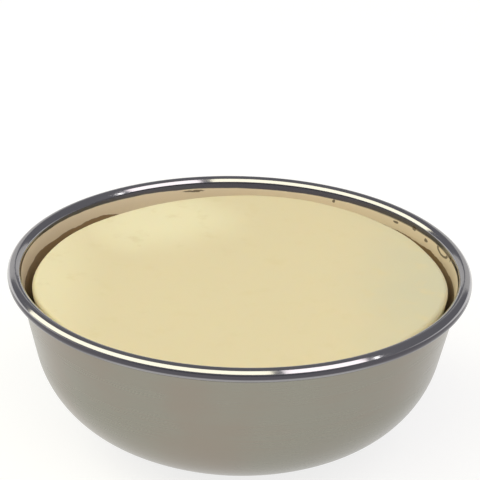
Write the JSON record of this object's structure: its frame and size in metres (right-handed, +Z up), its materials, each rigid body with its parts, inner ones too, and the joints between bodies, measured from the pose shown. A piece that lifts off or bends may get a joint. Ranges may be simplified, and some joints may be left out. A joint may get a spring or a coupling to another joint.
{
  "type": "shaving soap bowl",
  "caption": "Round spun metal bowl with a rolled bead rim, holding a loose solid cake of shaving soap that lifts out.",
  "frame": {"origin": "centre of the underside of the bowl's flat base", "axes": "+Z up along the bowl's axis; the bowl and the cake are round, so X and Y are free"},
  "size_m": [0.09, 0.09, 0.0359],
  "materials": {
    "bowl_metal": "satin outside, polished inside and on the bead",
    "soap": "smooth, waxy"
  },
  "bodies": {
    "bowl": {"bowl": "bowl_metal"},
    "cake": {"soap_puck": "soap"}
  },
  "joints": [
    {"name": "cake_lift", "type": "slide", "parent": "bowl", "child": "cake", "axis": [0, 0, 1], "range_m": [0, 0.045]}
  ]
}
